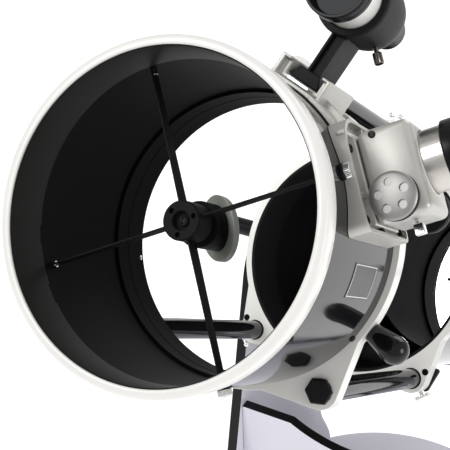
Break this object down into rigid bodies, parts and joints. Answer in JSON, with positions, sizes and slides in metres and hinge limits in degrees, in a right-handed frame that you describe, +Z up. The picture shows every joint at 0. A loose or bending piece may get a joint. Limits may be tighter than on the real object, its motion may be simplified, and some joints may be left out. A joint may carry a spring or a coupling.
{
  "type": "dobsonian telescope",
  "caption": "Collapsible strut reflector on a rocker box with a turntable, a side focuser, a finder and two altitude handles.",
  "frame": {"origin": "on the floor, in the middle of the object's bounding box", "axes": "+Z up; the open end of the tube points to -Y and up; +X is the side with the focuser"},
  "size_m": [0.6468, 1.1177, 1.2799],
  "materials": {
    "laminate": "pale laminate on board, black edges",
    "rubber": "matt",
    "nylon": "satin",
    "bright_metal": "polished",
    "black_tube": "gloss outside, matt inside",
    "black_strut": "black gloss",
    "white_casting": "white enamel",
    "matt_black": "matt black",
    "black_plastic": "satin",
    "grey_casting": "satin paint",
    "aluminium": "brushed",
    "mirror_glass": "coated glass"
  },
  "bodies": {
    "base": {"ground_board": "laminate", "foot_front": "rubber", "foot_rear_left": "rubber", "foot_rear_right": "rubber", "azimuth_bearing": "nylon", "pivot_bolt": "bright_metal"},
    "rocker": {"rocker_floor": "laminate", "side_panel_left": "laminate", "side_panel_right": "laminate", "front_panel": "laminate", "altitude_bush_left": "nylon", "altitude_bush_right": "nylon"},
    "tube": {"lower_tube": "black_tube", "lower_ring": "white_casting", "tail_ring": "white_casting", "mirror_cell": "matt_black", "altitude_hub_left": "black_plastic", "altitude_hub_right": "black_plastic"},
    "mirror": {"primary_mirror": "mirror_glass", "mirror_carrier": "aluminium"},
    "cage": {"upper_tube": "black_tube", "front_ring": "white_casting", "strut_ring": "white_casting", "strut_top": "black_strut", "strut_right": "black_strut", "strut_left": "black_strut", "guide_handle": "black_plastic", "spider_hub": "matt_black", "spider_vane_upper": "matt_black", "spider_vane_right": "matt_black", "spider_vane_lower": "matt_black", "spider_vane_left": "matt_black", "diagonal_holder": "matt_black", "diagonal_mirror": "mirror_glass", "focuser_saddle": "grey_casting", "focuser_body": "grey_casting", "finder_shoe": "grey_casting"},
    "drawtube": {"drawtube": "aluminium", "eyepiece_adapter": "black_plastic"},
    "focus_shaft": {"focus_shaft": "bright_metal", "focus_knob_front": "aluminium", "focus_knob_rear": "aluminium"},
    "eyepiece": {"eyepiece": "black_plastic"},
    "finder_bracket": {"finder_bracket": "black_plastic"},
    "finder": {"finder_tube": "white_casting"},
    "collimation_knob_1": {"collimation_knob_1": "black_plastic"},
    "collimation_knob_2": {"collimation_knob_2": "black_plastic"},
    "collimation_knob_3": {"collimation_knob_3": "black_plastic"},
    "strut_lock_top": {"strut_lock_top": "black_plastic"},
    "strut_lock_right": {"strut_lock_right": "black_plastic"},
    "strut_lock_left": {"strut_lock_left": "black_plastic"},
    "altitude_handle_left": {"altitude_handle_left": "black_plastic"},
    "altitude_handle_right": {"altitude_handle_right": "black_plastic"},
    "focus_lock_screw": {"focus_lock_screw": "bright_metal"},
    "adapter_thumbscrew": {"adapter_thumbscrew": "black_plastic"},
    "finder_screw_left": {"finder_screw_left": "bright_metal"},
    "finder_screw_right": {"finder_screw_right": "bright_metal"},
    "shoe_screw": {"shoe_screw": "bright_metal"},
    "finder_cell": {"finder_cell": "black_plastic"}
  },
  "joints": [
    {"name": "azimuth", "type": "hinge", "parent": "base", "child": "rocker", "pos_m": [0, 0.16, 0.04], "axis": [0, 0, 1], "continuous": true},
    {"name": "altitude", "type": "hinge", "parent": "rocker", "child": "tube", "pos_m": [0, 0.153, 0.655], "axis": [-1, 0, 0], "range_deg": [-35.8, 54.2]},
    {"name": "cage_slide", "type": "slide", "parent": "tube", "child": "cage", "axis": [0, 0.8111, -0.585], "range_m": [0, 0.305]},
    {"name": "mirror_tilt", "type": "hinge", "parent": "tube", "child": "mirror", "pos_m": [0, 0.429, 0.45594], "axis": [1, 0, 0], "range_deg": [-0.5, 0.5]},
    {"name": "focus_turn", "type": "hinge", "parent": "cage", "child": "focus_shaft", "pos_m": [0.17108, -0.33776, 1.08745], "axis": [0, 0.8111, -0.585], "range_deg": [-300, 450]},
    {"name": "drawtube_slide", "type": "slide", "parent": "cage", "child": "drawtube", "axis": [0.866, 0.2925, 0.4055], "range_m": [-0.018, 0.027]},
    {"name": "eyepiece_slide", "type": "slide", "parent": "drawtube", "child": "eyepiece", "axis": [0.866, 0.2925, 0.4055], "range_m": [0, 0.03]},
    {"name": "finder_slide", "type": "slide", "parent": "cage", "child": "finder_bracket", "axis": [0, -0.8111, 0.585], "range_m": [0, 0.06]},
    {"name": "finder_aim", "type": "hinge", "parent": "finder_bracket", "child": "finder", "pos_m": [0.07876, -0.246, 1.21981], "axis": [-0.9336, 0.2096, 0.2907], "range_deg": [-0.5, 0.5]},
    {"name": "collimation_1_turn", "type": "hinge", "parent": "tube", "child": "collimation_knob_1", "pos_m": [0, 0.51798, 0.51999], "axis": [0, 0.8111, -0.585], "range_deg": [-360, 360]},
    {"name": "collimation_2_turn", "type": "hinge", "parent": "tube", "child": "collimation_knob_2", "pos_m": [0.09007, 0.42673, 0.39346], "axis": [0, 0.8111, -0.585], "range_deg": [-360, 360]},
    {"name": "collimation_3_turn", "type": "hinge", "parent": "tube", "child": "collimation_knob_3", "pos_m": [-0.09007, 0.42673, 0.39346], "axis": [0, 0.8111, -0.585], "range_deg": [-360, 360]},
    {"name": "strut_lock_top_turn", "type": "hinge", "parent": "tube", "child": "strut_lock_top", "pos_m": [0, 0.08463, 0.93117], "axis": [0, 0.585, 0.8111], "range_deg": [0, 360]},
    {"name": "strut_lock_right_turn", "type": "hinge", "parent": "tube", "child": "strut_lock_right", "pos_m": [0.12071, -0.10423, 0.66931], "axis": [0.6561, -0.4415, -0.6121], "range_deg": [0, 360]},
    {"name": "strut_lock_left_turn", "type": "hinge", "parent": "tube", "child": "strut_lock_left", "pos_m": [-0.12071, -0.10423, 0.66931], "axis": [-0.6561, -0.4415, -0.6121], "range_deg": [0, 360]},
    {"name": "altitude_handle_left_turn", "type": "hinge", "parent": "tube", "child": "altitude_handle_left", "pos_m": [-0.26, 0.153, 0.655], "axis": [-1, 0, 0], "range_deg": [0, 360]},
    {"name": "altitude_handle_right_turn", "type": "hinge", "parent": "tube", "child": "altitude_handle_right", "pos_m": [0.26, 0.153, 0.655], "axis": [1, 0, 0], "range_deg": [0, 360]},
    {"name": "focus_lock_turn", "type": "hinge", "parent": "cage", "child": "focus_lock_screw", "pos_m": [0.18235, -0.35422, 1.08513], "axis": [0.5, -0.5066, -0.7024], "range_deg": [0, 360]},
    {"name": "adapter_lock_turn", "type": "hinge", "parent": "drawtube", "child": "adapter_thumbscrew", "pos_m": [0.18791, -0.2797, 1.13615], "axis": [-0.4, 0.8919, 0.2109], "range_deg": [0, 360]},
    {"name": "finder_screw_left_turn", "type": "hinge", "parent": "finder_bracket", "child": "finder_screw_left", "pos_m": [0.04476, -0.22618, 1.20625], "axis": [-0.9998, 0.0102, 0.0141], "range_deg": [0, 360]},
    {"name": "finder_screw_right_turn", "type": "hinge", "parent": "finder_bracket", "child": "finder_screw_right", "pos_m": [0.09524, -0.24392, 1.18165], "axis": [0.4848, -0.5116, -0.7094], "range_deg": [0, 360]},
    {"name": "shoe_screw_turn", "type": "hinge", "parent": "cage", "child": "shoe_screw", "pos_m": [0.03249, -0.26682, 1.15503], "axis": [-0.9336, 0.2096, 0.2907], "range_deg": [0, 360]},
    {"name": "finder_focus_turn", "type": "hinge", "parent": "finder", "child": "finder_cell", "pos_m": [0.07876, -0.28736, 1.24964], "axis": [0, -0.8111, 0.585], "range_deg": [-180, 180]}
  ],
  "couplings": [
    {"joint": "drawtube_slide", "follows": "focus_turn", "m_per_rad": 0.0034},
    {"joint": "mirror_tilt", "follows": "collimation_1_turn", "ratio": 0.00102}
  ]
}
